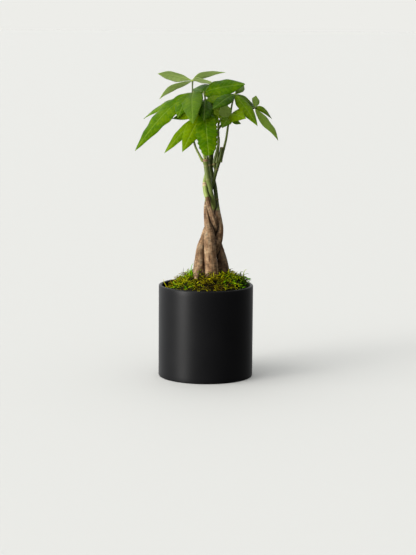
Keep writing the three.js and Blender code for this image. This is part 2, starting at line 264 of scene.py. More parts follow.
def turned(profile, sides):
    # A closed body from a profile of [radius, height] rows whose two ends lie on the axis
    rings = np.array(profile[1:-1], float)
    turn = 2 * np.pi * np.arange(sides) / sides
    skin = np.stack([
        rings[:, None, 0] * np.cos(turn), rings[:, None, 0] * np.sin(turn),
        np.repeat(rings[:, 1:], sides, axis=1),
    ], axis=-1)
    ends = [(0, 0, profile[0][1]), (0, 0, profile[-1][1])]
    return np.vstack([skin.reshape(-1, 3), ends]), tubeFaces(len(rings), sides)


def buildPot():
    radius, height, floor = pot["radius"], pot["height"], pot["floor"]
    rim, foot, inner = pot["rimRound"], pot["footRound"], pot["innerRound"]
    wallRows = np.linspace(foot + pot["wallMargin"], height - rim - pot["wallMargin"], pot["wallRows"])
    profile = np.vstack([
        [(0, 0), (radius * 0.5, 0)],
        arc(radius - foot, foot, foot, -90, 0),
        [(radius, z) for z in wallRows],
        arc(radius - rim, height - rim, rim, 0, 90),
        arc(innerRadius + rim, height - rim, rim, 90, 180),
        [(innerRadius, z) for z in wallRows[::-1] if z > floor + inner],
        arc(innerRadius - inner, floor + inner, inner, 0, -90),
        [(0, floor)],
    ])
    points, faces = turned(profile, pot["sides"])
    quads, fans = faces
    # Only the flat underside is left without glaze
    low = points[quads][:, :, 2].max(axis=1) < 0.02
    dry = np.concatenate([low, np.repeat([True, False], len(fans) // 2)])
    glazed = newMaterial("mattBlackGlazedStoneware", blackGlaze)
    bare = newMaterial("unglazedStonewareFoot", bareBisque)
    body = {"points": points, "faces": faces, "wearing": dry}
    makePiece("pot_glazed", [body], [glazed, bare], ["pot"])
    print("pot built")


buildPot()


# Soil

soil = {
    "top": 108, "gap": 0.3, "grit": 1.1, "gritSize": 3.5, "rings": 26, "sides": 96, "wallRows": (40, 75),
    "crumb": 2.2, "clod": 5, "dark": "#1a120c", "mid": "#3a2a1d", "light": "#6b523a",
}


def pottingSoil(node):
    # Peat and bark crumbs: dark, dry and matt, with a few light grains.
    place = node("TexCoord")["Object"]
    crumb = node("TexVoronoi", {"Vector": place, "Scale": perMetre(soil["crumb"])})
    clod = node("TexNoise", {"Vector": place, "Scale": perMetre(soil["clod"]), "Detail": 6.0})
    tint = node("ValToRGB", {"Fac": clod["Fac"]}, stops=[
        (0.3, soil["dark"]), (0.6, soil["mid"]), (0.8, soil["light"]),
    ])
    relief = node("Bump", {"Height": crumb["Distance"], "Strength": 0.8, "Distance": 0.8 * mm})
    return node("BsdfPrincipled", {
        "Base Color": tint[0], "Roughness": 0.95, "Normal": relief[0], "Specular IOR Level": 0.2,
    })


def buildSoil():
    radius = innerRadius - soil["gap"]
    base = pot["floor"] + soil["gap"]
    inner = pot["innerRound"]
    top = [(radius * (1 - i / soil["rings"]), soil["top"]) for i in range(soil["rings"])]
    profile = np.vstack([
        [(0, base)], arc(radius - inner, base + inner, inner, -90, 0),
        [(radius, z) for z in soil["wallRows"]], top, [(0, soil["top"])],
    ])
    points, faces = turned(profile, soil["sides"])
    upper = points[:, 2] > soil["top"] - 0.01
    points[upper, 2] -= soil["grit"] * np.abs(roughField(points[upper], soil["gritSize"])) + 0.2
    material = newMaterial("peatPottingSoil", pottingSoil)
    makePiece("soil_crumbs", [{"points": points, "faces": faces}], [material], ["soil"])
    print("soil built")


buildSoil()


# Stems. Each is a chain of [x, y, z, radius] from its root in the soil to its cut top, and a spur is a side
# shoot of the same kind. Above greenFrom the skin is green, and deep says how deep. Rings are the heights of
# leaf scars, ringShow is how plain they are, and brownRings are only stains. Dark is how much painted shade
# darkens the cork low down, where the stem stands in shade.

stems = {
    "stem_left": {
        "greenFrom": 226, "deep": 0.62, "rings": [265, 283], "ringShow": 0.3, "brownRings": [291.2],
        "chain": [
            [-4.5, -3, 86, 4.6], [-7.6, -5, 116, 7.3], [-9, -6.5, 140, 8.1], [-8.6, -6.6, 157, 7.1],
            [-7.3, -3.4, 173, 5.8], [-3.4, 0.5, 185.5, 5], [0.8, 4.5, 198, 4.5], [5.4, 7, 208.5, 4],
            [9, 5.4, 219.5, 3.8], [9.4, 1.4, 230.5, 3.6], [7.9, -2.8, 240, 3.2], [6.2, -5.2, 247, 2.9],
            [5.0, -6.2, 253, 2.9], [3.6, -6.3, 259, 3.1], [1.8, -6.2, 265.5, 3.3], [0.9, -6, 271.5, 3.3],
            [-0.1, -5.8, 278, 3.2], [-0.9, -5.6, 284, 3.1], [-1.8, -5.4, 289.5, 3.7],
            [-2.1, -5.2, 293.5, 4.0],
        ],
        "spur": [
            [-10, -8, 152, 3.6], [-11.6, -12.5, 145, 3.4], [-12.6, -18, 140, 3.0], [-13.4, -24, 134, 2.4],
        ],
    },
    "stem_front": {
        "greenFrom": 236, "deep": 0.92, "rings": [229, 247, 279], "ringShow": 0.6, "chain": [
            [7.4, -9, 84, 5.4], [8.4, -13, 118, 8], [7.7, -14, 144, 8.8], [5.5, -13.6, 165, 8.3],
            [4.6, -11.6, 185.5, 7.5], [3.9, -9.6, 198, 6.0], [1.5, -7.4, 209, 4.5], [0.2, -3.6, 220, 3.7],
            [0, -0.6, 230.5, 3.2], [1.3, 1.8, 240, 3.0], [4.2, 3, 249, 3.1], [7.8, 1.8, 259, 2.8],
            [11.2, -1, 272, 2.4], [12.9, -2, 280, 2.9], [14.8, -2.8, 286.5, 2.9], [16.7, -3.4, 293, 3.2],
            [18.4, -4, 300, 2.4], [19.7, -4.4, 309, 2.2],
        ],
        "spur": [
            [12.4, -2.6, 277, 1.4], [9.9, -4, 285.4, 2.1], [10.8, -5, 293, 2.0], [13.4, -6.6, 304, 1.7],
            [15.4, -7.6, 314, 1.3],
        ],
        "spurRings": [286],
    },
    "stem_right": {
        # Its dark is painted shade on the cork low down
        "greenFrom": 242, "deep": 0.1, "dark": 0.75, "rings": [256.6], "brownRings": [259.4], "chain": [
            [16, 3, 88, 4.8], [22, 4, 116, 6.8], [24, 4.4, 140, 7.2], [22.4, 5.4, 152, 6.9],
            [19.2, 7, 166, 6.1], [15.5, 8.6, 178, 5.5], [14.4, 7.2, 187, 4.9], [13.2, 1.6, 195, 4.4],
            [11.7, -4.6, 202, 3.9], [9.7, -8, 210.5, 3.8], [7.0, -9.8, 220, 3.5], [3.5, -9.2, 231, 3.2],
            [1.5, -7.3, 240, 3.2], [-0.9, -5.2, 248, 3.3], [-1.8, -3.3, 255, 3.4], [-2.4, -1.4, 260, 3.1],
            [-1.6, 1.4, 267, 2.7], [0.2, 3.6, 278, 2.0], [0.2, 5, 292, 1.6], [-1.4, 6.6, 305, 1.8],
        ],
    },
    "stem_back": {
        # Its dark is painted shade on the cork low down
        "greenFrom": 225, "deep": 1.0, "dark": 0.15, "rings": [238, 284], "ringShow": 0.6, "chain": [
            [7, 9, 86, 4.2], [6, 9, 118, 5.8], [6.4, 8.6, 145, 5.6], [9, 5.4, 161, 5.2], [12.6, 0.6, 171, 5],
            [15.6, -2.6, 179, 4.9], [17.6, -3, 188, 4.7], [18.2, -1.4, 198, 4.8], [17.1, 0.6, 208.5, 4.5],
            [15.4, 2.4, 220, 3.8], [14.1, 4.2, 231, 2.8], [12.8, 5, 243, 2.7], [11, 5.8, 255, 2.9],
            [7.8, 6.2, 266, 3.6], [6.0, 5.8, 274, 3.3], [5.2, 5, 280, 3.2], [5.1, 4.4, 288, 3.4],
            [5.5, 4, 301, 3.6],
        ],
    },
}
bark = {
    # The cork of some stems darkens with painted shade between two heights, fully at the lower one
    "sides": 40, "step": 0.9, "greenBlend": 9, "shadeFrom": 200, "shadeTo": 168, "seamReach": 2.0,
    # A ring is a ridge with a groove above it, and a stain as wide as a scar
    "ringLift": 0.34, "ringWidth": 0.7, "ringTilt": 0.8, "grooveShare": 0.5, "grooveUp": 1.7,
    "grooveWidth": 0.8, "scarWidth": 0.75, "brownShow": 1.8, "brownWidth": 1.1, "cutRound": 1.6,
    "cutShare": 0.72, "cutDish": 0.5,
    # Relief: how high it stands, and its size across and along the stem
    "swell": 0.05, "swellSize": (8, 8, 20), "wrinkle": 0.13, "wrinkleSize": (5, 5, 1.7),
    "fissure": 0.38, "fissureSize": (1.7, 1.7, 13), "flare": 0.1, "flareLobes": 3, "flareFrom": 150,
    "flareTo": 128,
    # Colour patterns: width, length and detail of their marks
    "fibre": (1.3, 19, 4.0), "crease": (6, 2.2, 4.0), "blotch": (5, 13, 5.0), "flake": 2.6,
    # From one height to the other the cork turns damp
    "damp": (172, 132),
    "dark": "#563b23", "mid": "#785c40", "light": "#8e7254", "ash": "#918167", "greenPale": "#8c9c4e",
    "greenDeep": "#434f19", "scar": "#bfa884", "scarDeep": "#8a6a48", "cut": "#5a3020",
}


def barkAndGreenwood(node):
    # Young money tree wood: smooth corky bark in brown and ash below, and a green waxy skin with pale rings
    # above. Its attributes: straight is the skin unrolled in mm, wood is how green, how scarred and how deep
    # in tone, and seam is how near the next stem is.
    straight = node("Attribute", attribute_name="straight")["Vector"]
    green, scarred, deep = node("SeparateXYZ", {0: node("Attribute", attribute_name="wood")["Vector"]})
    marks = []
    for wide, long, detail in (bark["fibre"], bark["crease"], bark["blotch"]):
        scaled = node("VectorMath", {0: straight, 1: (1 / wide, 1 / wide, 1 / long)}, operation="MULTIPLY")
        marks.append(node("TexNoise", {"Vector": scaled[0], "Scale": 1.0, "Detail": detail})["Fac"])
    fibre, crease, blotch = marks
    flake = node("TexNoise", {"Vector": straight, "Scale": 1 / bark["flake"], "Detail": 3.0})

    cork = node("ValToRGB", {"Fac": blotch}, stops=[
        (0.32, bark["dark"]), (0.45, bark["mid"]), (0.56, bark["light"]), (0.69, bark["ash"]),
    ])
    seams = node("Math", {0: fibre, 1: crease}, operation="MULTIPLY")
    seamShade = node("MapRange", {
        "Value": seams[0], "From Min": 0.14, "From Max": 0.32, "To Min": 0.42, "To Max": 1.2,
    })
    # Near the moss the cork is damp, darker and flaky
    low = node("MapRange", {
        "Value": node("SeparateXYZ", {0: node("TexCoord")["Object"]})[2],
        "From Min": bark["damp"][0] * mm, "From Max": bark["damp"][1] * mm,
    })
    flaky = node("MapRange", {
        "Value": flake["Fac"], "From Min": 0.4, "From Max": 0.56, "To Min": 0.62, "To Max": 1.25,
    })
    damp = node("Mix", {0: low[0], 2: 1.0, 3: flaky[0]})
    # Painted shade: the cork of some stems is dimmed low down, by the third value of wood
    dim = node("MapRange", {"Value": deep, "To Min": 1.0, "To Max": 0.5})
    dulled = node("Math", {0: seamShade[0], 1: dim[0]}, operation="MULTIPLY")
    worn = node("Math", {0: dulled[0], 1: damp[0]}, operation="MULTIPLY")
    barkTint = node("VectorMath", {0: cork[0], 1: worn[0]}, operation="MULTIPLY")

    skin = node("Mix", {0: deep, 6: bark["greenPale"], 7: bark["greenDeep"]}, data_type="RGBA")
    streak = node("MapRange", {
        "Value": fibre, "From Min": 0.3, "From Max": 0.7, "To Min": 0.8, "To Max": 1.12,
    })
    greenTint = node("VectorMath", {0: skin[2], 1: streak[0]}, operation="MULTIPLY")

    # Cork ends in ragged tongues
    ragged = node("Math", {0: blotch, 1: 0.9, 2: green}, operation="MULTIPLY_ADD")
    edge = node("MapRange", {"Value": ragged[0], "From Min": 0.86, "From Max": 1.04})
    skinTint = node("Mix", {0: edge[0], 6: barkTint[0], 7: greenTint[0]}, data_type="RGBA")
    # Where stems press together the skin is dark with shade and dust
    pressed = node("MapRange", {
        "Value": node("Attribute", attribute_name="seam")["Fac"],
        "To Min": 1.0, "To Max": 0.2,
    })
    pressedTint = node("VectorMath", {0: skinTint[2], 1: pressed[0]}, operation="MULTIPLY")
    scarTint = node("Mix", {0: deep, 6: bark["scar"], 7: bark["scarDeep"]}, data_type="RGBA")
    ringed = node("Mix", {
        0: node("MapRange", {"Value": scarred, "From Max": 1.0})[0],
        6: pressedTint[0], 7: scarTint[2],
    }, data_type="RGBA")
    capped = node("Mix", {
        0: node("MapRange", {"Value": scarred, "From Min": 1.0, "From Max": 2.0})[0],
        6: ringed[2], 7: bark["cut"],
    }, data_type="RGBA")

    roughness = node("MapRange", {"Value": edge[0], "To Min": 0.82, "To Max": 0.5})
    softened = node("MapRange", {"Value": edge[0], "To Min": 1.0, "To Max": 0.25})
    relief = node("Bump", {"Height": seams[0], "Strength": softened[0], "Distance": 0.9 * mm})
    return node("BsdfPrincipled", {
        "Base Color": capped[2], "Roughness": roughness[0], "Normal": relief[0],
        "Specular IOR Level": 0.3,
    })


def seamCloseness(points, name):
    # How near the points of a stem are to the other stems, from 0 to 1 where they touch
    nearest = np.full(len(points), 99.0)
    for other, stem in stems.items():
        if other != name:
            line, _ = evenly(smoothChain(stem["chain"]), 2.0)
            away = np.linalg.norm(points[:, None] - line[None, :, :3], axis=2) - line[None, :, 3]
            nearest = np.minimum(nearest, away.min(axis=1))
    return np.exp(-(np.maximum(nearest, 0) / bark["seamReach"]) ** 2)


def stemMesh(stem, name):
    # The skin of one chain, with its relief, rings and cut end
    line, run = evenly(smoothChain(stem["chain"]), bark["step"])
    sides = bark["sides"]
    places, girth = line[:, :3], line[:, 3]
    turn = 2 * np.pi * np.arange(sides) / sides
    straight = np.stack([
        girth[:, None] * np.cos(turn), girth[:, None] * np.sin(turn), np.repeat(run[:, None], sides, axis=1),
    ], axis=-1).reshape(-1, 3)
    # Each stem has its own place in the noise, so that no two wear the same bark
    shift = np.array((name.count("l") * 37.0, len(name) * 11.0, 0))
    height = np.repeat(places[:, 2], sides)
    around = np.tile(turn, len(places))
    green = smoothStep(stem["greenFrom"] - bark["greenBlend"], stem["greenFrom"] + bark["greenBlend"], height)
    corky = 1 - green

    swell = bark["swell"] * np.repeat(girth, sides) * roughField(straight + shift, bark["swellSize"])
    wrinkle = bark["wrinkle"] * roughField(straight + shift, bark["wrinkleSize"])
    fissure = bark["fissure"] * roughField(straight + shift, bark["fissureSize"])
    lobes = 1 + np.cos(bark["flareLobes"] * around + len(name))
    flare = 1 + bark["flare"] * smoothStep(bark["flareFrom"], bark["flareTo"], height) * lobes
    radii = np.repeat(girth, sides) * flare + swell + corky * (wrinkle + fissure)
    scar = np.zeros(len(radii))
    for level in stem["rings"]:
        away = height - level - bark["ringTilt"] * np.cos(around)
        ridge = np.exp(-(away / bark["ringWidth"]) ** 2)
        groove = np.exp(-((away - bark["grooveUp"]) / bark["grooveWidth"]) ** 2)
        radii += bark["ringLift"] * (ridge - bark["grooveShare"] * groove)
        scar = np.maximum(scar, stem.get("ringShow", 1) * np.exp(-(away / bark["scarWidth"]) ** 2))
    for level in stem.get("brownRings", []):
        scar = np.maximum(scar, bark["brownShow"] * np.exp(-((height - level) / bark["brownWidth"]) ** 2))

    # The last rings turn in over the cut end
    cut = np.clip((run[-1] - run) / bark["cutRound"], 0, 1)
    radii = radii.reshape(-1, sides) * (bark["cutShare"] + (1 - bark["cutShare"]) * np.sqrt(cut))[:, None]
    points = tubePoints(places, radii, sides, bark["cutDish"])
    scar = np.maximum(scar, 2 * np.repeat(1 - smoothStep(0, 0.8, cut), sides))
    ends = [(0, 0, 0), (0, 0, run[-1])]
    # The third value of wood is how deep the green is above, and how much painted shade darkens the cork low
    # down
    paintedShadeLow = smoothStep(bark["shadeFrom"], bark["shadeTo"], height)
    deep = green * stem["deep"] + corky * stem.get("dark", 0) * paintedShadeLow
    return {
        "points": points, "faces": tubeFaces(len(places), sides),
        "straight": np.vstack([straight + shift, ends]),
        "wood": np.vstack([np.column_stack([green, scar, deep]), [(0, 0, 0), (1, 2, stem["deep"])]]),
        "seam": np.column_stack([seamCloseness(points, name)] * 3),
    }


def buildStem(name, stem, material):
    parts = [stemMesh(stem, name)]
    if "spur" in stem:
        parts.append(stemMesh({**stem, "chain": stem["spur"], "rings": stem.get("spurRings", [])}, name))
    makePiece(name + "_bark", parts, [material], [name])


def buildStems():
    material = newMaterial("moneyTreeBarkAndGreenwood", barkAndGreenwood)
    for name, stem in stems.items():
        buildStem(name, stem, material)
    print("stems built")


buildStems()


# Leaves. Each is a petiole whose route leaves a stem and ends at the hub, and leaflets that spread from the
# hub. Facing is the way that the upper sides look. Pale is 1 for a young leaf. Stalk is the petiole's tone,
# from pale at 0 to deep at 1, stalkAtHub its tone further on, and foot and end its radii.

blade = {
    "rows": 64, "columns": 20, "thickness": 0.5, "margin": 0.16, "roof": 0.16, "neck": 0.75, "point": 0.12,
    "petiolule": 0.035, "veinSpacing": 6.4, "veinSweep": 0.55, "quilt": 0.4, "groove": 0.5, "rib": 0.55,
    "wave": 0.056, "waveLength": 24, "ripple": 0.018, "rippleLength": 17, "raggedLength": 6.5, "twist": 7,
    "taper": 0.75, "grooveWidth": 0.9, "ribWidth": 0.8, "fullHalf": 9,
    "vein": "#a9bf55", "sheen": "#c8e44a", "throughDeep": "#6b9606", "through": "#9ac00c",
    "youngThrough": "#c8d79c",
    "mottle": 11, "fleck": 2.6, "sides": {
        # Tones from deep green to lime, the tone of a young leaf, how plain the veins are, and how rough and
        # shiny the wax is
        "Upper": {
            "tones": ("#203a00", "#3a5f00", "#6c8500"), "young": "#8ba34a", "veins": 0.22,
            "rough": (0.34, 0.5), "shine": 0.13,
        },
        "Under": {
            "tones": ("#647f18", "#8ea32e"), "young": "#abb783", "veins": 0.5, "rough": (0.62, 0.75),
            "shine": 0.08,
        },
    },
    # A leaflet may have its own. Full is how far out it is widest: about its middle at 1, and nearer the hub
    # below that. A belly below 1 fills it out towards both ends, and drip is what its last stretch loses. An
    # arch below 1 is highest before its middle. Ragged is how uneven its margins are.
    "full": 1.05, "belly": 0.86, "drip": 0.3, "arch": 0.8, "ragged": 0,
}


def leafletOf(tip, width, bulge, tone, **own):
    # Bulge is how far it arches up, as a share of its length. Tone goes from deep green at 0 to lime at 1,
    # and a leaflet's own pale from old at 0 to young at 1.
    return {**blade, "tip": tip, "width": width, "bulge": bulge, "tone": tone, **own}


leaves = {
    "leaf_1": {
        "route": [[-4.8, -5.4, 290], [-9.2, -5, 297], [-17.6, -2, 318], [-19.6, 4, 360]],
        "hub": [-19.7, 10, 396], "facing": [0, 0.72, 0.69], "pale": 1,
        "stalk": 0.25, "stalkAtHub": 1.2, "end": 0.9, "leaflets": [
            leafletOf([-66, 22, 404.5], 19, 0.04, 0.7, full=1.25, pale=0.7),
            leafletOf([-63, -8, 372], 12, 0.13, 0.7, arch=1.3),
            leafletOf([24, 20, 407], 13, 0.12, 0.55, arch=0.75, full=0.6),
            leafletOf([6, -30, 396], 17, 0.04, 0.75),
            leafletOf([4, 62, 402], 17, 0.05, 0.6),
        ],
    },
    "leaf_2": {
        "route": [[4.6, 4, 298], [4.4, 5, 309], [1, 15, 345]],
        "hub": [-4, 20, 380], "facing": [0, -0.7, 0.71], "stalk": 0.6, "leaflets": [
            leafletOf([50, 6, 392], 32, 0.06, 0.6, arch=0.75, full=0.68, belly=0.65),
            leafletOf([-19, 62, 383], 29, 0.06, 0.35, full=0.6, facing=[-0.2, -0.8, 0.5]),
            leafletOf([32, 84, 380], 22, 0.12, 0.5),
            leafletOf([-26, 84, 356], 20, 0.14, 0.45),
        ],
    },
    "leaf_3": {
        "route": [[-2.6, 6.6, 302], [-2.4, 6.8, 314], [-8, 5, 345]],
        "hub": [-17.5, -5, 381], "facing": [-0.25, -0.55, 0.8], "stalk": 0.6, "leaflets": [
            leafletOf([-94.2, -32, 305.4], 31, 0.095, 0.66, full=0.7, drip=0.1),
            leafletOf([-86, 40, 343], 15, 0.05, 0.75, arch=1.2),
            # A little pale lightens this leaflet all over as a painted sheen
            leafletOf([-18, -72, 344], 29, 0.12, 0.5, full=0.68, belly=0.7, pale=0.15),
            leafletOf([-38, -52, 350], 25, 0.12, 0.6),
        ],
    },
    "leaf_4": {
        "route": [[4.6, 3.4, 293], [3.6, -1.8, 302], [2, -6, 322], [0, -9, 348]],
        "hub": [-2.9, -12, 371], "facing": [0, -0.4, 0.9], "stalk": 0.55, "leaflets": [
            leafletOf([-4, -62, 347], 23, 0.1, 0.2, facing=[0.1, -0.8, 0.6]),
            leafletOf([22, -2, 377], 22, -0.04, 0.95),
            leafletOf([7.4, -28, 350], 11, 0.08, 0.45),
        ],
    },
    "leaf_5": {
        "route": [[-2.6, -6, 290], [-3, -8.5, 298], [-3.2, -18, 325]],
        "hub": [-2.3, -28, 357], "facing": [-0.1, -0.85, 0.52], "stalk": 0.2, "foot": 1.3, "leaflets": [
            leafletOf([2.6, -80, 303.8], 28, 0.12, 0.6, full=0.98, belly=0.33, drip=0, ragged=0.06),
            leafletOf([-31.8, -62, 306.6], 23, 0.12, 0.95, full=1.0),
            leafletOf([-55.8, -34, 302.6], 14, 0.09, 0.85, full=1.15),
            leafletOf([-46, -20, 347], 13, 0.06, 1.05),
            leafletOf([17, -36, 342.5], 11, 0.02, 0.95),
        ],
    },
    "leaf_6": {
        "route": [
            [17.8, -3.2, 289], [21.6, -1, 303], [25.6, 2, 320], [28.2, 6, 338], [31.4, 9, 354],
            [33.4, 8.5, 367],
        ],
        "hub": [36.6, 3, 378.4], "facing": [0.1, -0.5, 0.86],
        "stalk": 0.58, "stalkAtHub": 0.3, "foot": 2.0, "end": 1.1, "leaflets": [
            leafletOf([49.6, 60, 390], 12, 0.06, 0.85, facing=[0.2, -1, 0.2]),
            leafletOf([66.2, -30, 339], 19, 0.04, 0.8, full=0.85),
            leafletOf([7, -46, 361.5], 19, 0.06, 0.4, facing=[0, -0.75, 0.65]),
            leafletOf([66, 45, 359.5], 11, 0.05, 0.75, facing=[0.2, -0.8, 0.55]),
            leafletOf([20, 62, 360], 18, 0.08, 0.4),
        ],
    },
    "leaf_7": {
        "route": [
            [5.4, 5, 281], [9.4, 6, 286], [13, 6.5, 291], [14.8, 7.5, 300], [15.2, 10, 322], [18, 17, 344],
            [44, 15, 355],
        ],
        "hub": [63.9, 5, 361], "facing": [0.3, -0.5, 0.8], "stalk": 0.7, "leaflets": [
            leafletOf([66, 48, 375], 11, 0.02, 0.9, full=1.2, facing=[0.1, -1, 0.1]),
            leafletOf([87, 28, 345], 11, 0.14, 1.0, arch=0.7, full=0.7, facing=[0.4, -0.7, 0.6]),
            leafletOf([94.4, -8, 318.4], 17, 0.05, 0.75, arch=2.2, full=0.9, pale=0.6),
            leafletOf([50, 50, 352], 13, 0.1, 0.4),
        ],
    },
    "leaf_8": {
        "route": [[13.2, -4.2, 288], [14.6, -6, 303], [15.6, -8, 318], [15, -8, 333]],
        "hub": [29, -5, 346], "facing": [0.1, -0.8, 0.6], "stalk": 0.68, "foot": 1.9, "end": 1.5,
        "leaflets": [
            leafletOf([51, -30, 348.4], 27, 0.25, 1.0, full=0.8),
            leafletOf([19.5, -46, 337], 15, 0.14, 0.75),
            # Pale lightens these two leaflets as painted light, where they lie in shade
            leafletOf([45, -2, 339.6], 7, 0.1, 0.9, pale=0.2, facing=[0.2, -1, 0.3]),
            leafletOf([19.4, -6, 365], 18, 0.06, 1.1, pale=1, facing=[-0.45, -0.85, 0.3]),
        ],
    },
    "leaf_9": {
        "route": [[4.9, 4.6, 284], [4.8, 9.6, 294], [5.4, 18, 318], [6, 35, 348]],
        "hub": [4, 50, 364], "facing": [0.1, 0.7, 0.7], "stalk": 0.5, "leaflets": [
            leafletOf([29, 92, 350], 21, 0.12, 0.5),
            leafletOf([-1, 100, 336], 24, 0.12, 0.45),
            leafletOf([-30, 86, 346], 20, 0.12, 0.6),
            leafletOf([26, 56, 338], 14, 0.1, 0.4),
        ],
    },
    "leaf_10": {
        "route": [[-2.4, 6, 295], [-5.8, 9.8, 304], [-10, 16, 323], [-22, 27, 345]],
        "hub": [-32, 34, 357], "facing": [-0.3, 0.5, 0.8], "stalk": 0.3, "leaflets": [
            leafletOf([-66, 66, 354], 16, 0.1, 0.6),
            leafletOf([-58, 84, 344], 20, 0.12, 0.5),
            leafletOf([-62, 8, 352], 15, 0.06, 0.55),
        ],
    },
}
stalk = {
    "foot": 1.7, "end": 1.15, "knob": 2.0, "knobRings": 8, "knobHeight": 0.8, "footSwell": 0.35,
    "endSwell": 0.3, "swellReach": 5, "sides": 16, "step": 1.4,
    "pale": "#93a34a", "deep": "#4c5820", "streak": 3,
    # From one share of its length to the other, the tone changes to stalkAtHub
    "toneTurn": (0.14, 0.3),
}


def leafSkin(node, side):
    # A waxy green blade. The upper side is glossy and deep, and the underside paler and dull. Light shines
    # through it yellow green. Its attributes: blade is mm across from the midrib, mm from the foot, and the
    # share of the half width; leaf is the tone, and how young and pale the leaf is.
    own = blade["sides"][side]
    bladeAt, leaf = (node("SeparateXYZ", {
        0: node("Attribute", attribute_name=name)["Vector"],
    }) for name in ("blade", "leaf"))
    across = node("Math", {0: bladeAt[0]}, operation="ABSOLUTE")[0]
    right = node("Math", {0: bladeAt[0], 1: 0.0}, operation="GREATER_THAN")[0]
    place = node("TexCoord")["Object"]
    mottle = node("TexNoise", {"Vector": place, "Scale": perMetre(blade["mottle"]), "Detail": 4.0})
    fleck = node("TexNoise", {"Vector": place, "Scale": perMetre(blade["fleck"]), "Detail": 2.0})

    # Side veins leave the midrib at even steps, sweep forward, and alternate on the two sides
    swept = node("Math", {0: across, 1: -blade["veinSweep"], 2: bladeAt[1]}, operation="MULTIPLY_ADD")
    counted = node("Math", {0: swept[0], 1: 1 / blade["veinSpacing"]}, operation="MULTIPLY")
    staggered = node("Math", {0: right, 1: 0.5, 2: counted[0]}, operation="MULTIPLY_ADD")
    toVein = node("Math", {0: staggered[0], 1: 0.5}, operation="PINGPONG")
    # A real side vein is 0.3 mm wide; the line is 0.9 mm so that it shows
    sideVein = node("MapRange", {
        "Value": toVein[0], "From Min": 0.07, "From Max": 0.02,
    }, interpolation_type="SMOOTHSTEP")
    fade = node("MapRange", {
        "Value": node("Math", {0: bladeAt[2]}, operation="ABSOLUTE")[0],
        "From Min": 1.0, "From Max": 0.6, "To Max": 0.55,
    })
    fadedVein = node("Math", {0: sideVein[0], 1: fade[0]}, operation="MULTIPLY")
    midrib = node("MapRange", {
        "Value": across, "From Min": 0.85, "From Max": 0.3,
    }, interpolation_type="SMOOTHSTEP")
    vein = node("Math", {0: fadedVein[0], 1: midrib[0]}, operation="MAXIMUM")

    varied = node("Math", {0: mottle["Fac"], 1: 1.0, 2: leaf[0]}, operation="MULTIPLY_ADD")
    flecked = node("Math", {0: fleck["Fac"], 1: 0.9, 2: varied[0]}, operation="MULTIPLY_ADD")
    shifted = node("Math", {0: flecked[0], 1: 0.95}, operation="SUBTRACT")
    places = np.linspace(0, 1, len(own["tones"]))
    flesh = node("ValToRGB", {"Fac": shifted[0]}, stops=zip(places, own["tones"]))
    veinShare = node("Math", {0: vein[0], 1: own["veins"]}, operation="MULTIPLY")
    young = node("Mix", {0: leaf[1], 6: flesh[0], 7: own["young"]}, data_type="RGBA")
    tint = node("Mix", {0: veinShare[0], 6: young[2], 7: blade["vein"]}, data_type="RGBA")
    relief = node("Bump", {
        "Height": node("Math", {0: vein[0], 1: 0.25, 2: mottle["Fac"]}, operation="MULTIPLY_ADD")[0],
        "Strength": 0.45, "Distance": 0.5 * mm,
    }, invert=side == "Upper")
    gloss = node("MapRange", {"Value": mottle["Fac"], "To Min": own["rough"][0], "To Max": own["rough"][1]})
    skin = node("BsdfPrincipled", {
        "Base Color": tint[2], "Roughness": gloss[0], "Normal": relief[0],
        "Specular IOR Level": own["shine"], "Specular Tint": blade["sheen"],
    })
    throughTint = node("Mix", {0: leaf[0], 6: blade["throughDeep"], 7: blade["through"]}, data_type="RGBA")
    youngThrough = node("Mix", {0: leaf[1], 6: throughTint[2], 7: blade["youngThrough"]}, data_type="RGBA")
    # A young blade is thinner and lets more light through
    share = node("Math", {0: leaf[1], 1: 0.16, 2: 0.38}, operation="MULTIPLY_ADD")
    through = node("BsdfTranslucent", {"Color": youngThrough[2]})
    return node("MixShader", {0: share[0], 1: skin[0], 2: through[0]})


def petioleSkin(node):
    # The smooth skin of a green petiole, with a waxy sheen and faint streaks. It is pale or deep by its tone.
    leaf = node("SeparateXYZ", {0: node("Attribute", attribute_name="leaf")["Vector"]})
    place = node("TexCoord")["Object"]
    streak = node("TexNoise", {"Vector": place, "Scale": perMetre(stalk["streak"]), "Detail": 3.0})
    varied = node("Math", {0: streak["Fac"], 1: 0.4, 2: leaf[0]}, operation="MULTIPLY_ADD")
    tint = node("ValToRGB", {"Fac": varied[0]}, stops=[(0.15, stalk["pale"]), (1.1, stalk["deep"])])
    return node("BsdfPrincipled", {"Base Color": tint[0], "Roughness": 0.5, "Specular IOR Level": 0.4})


def bladeShare(s, leaflet):
    # Half of the blade's width from its foot at 0 to its drip tip at 1, as a share of the full half
    return np.sin(np.pi * s ** leaflet["full"]) ** leaflet["belly"] * (1 - leaflet["drip"] * s ** 7)


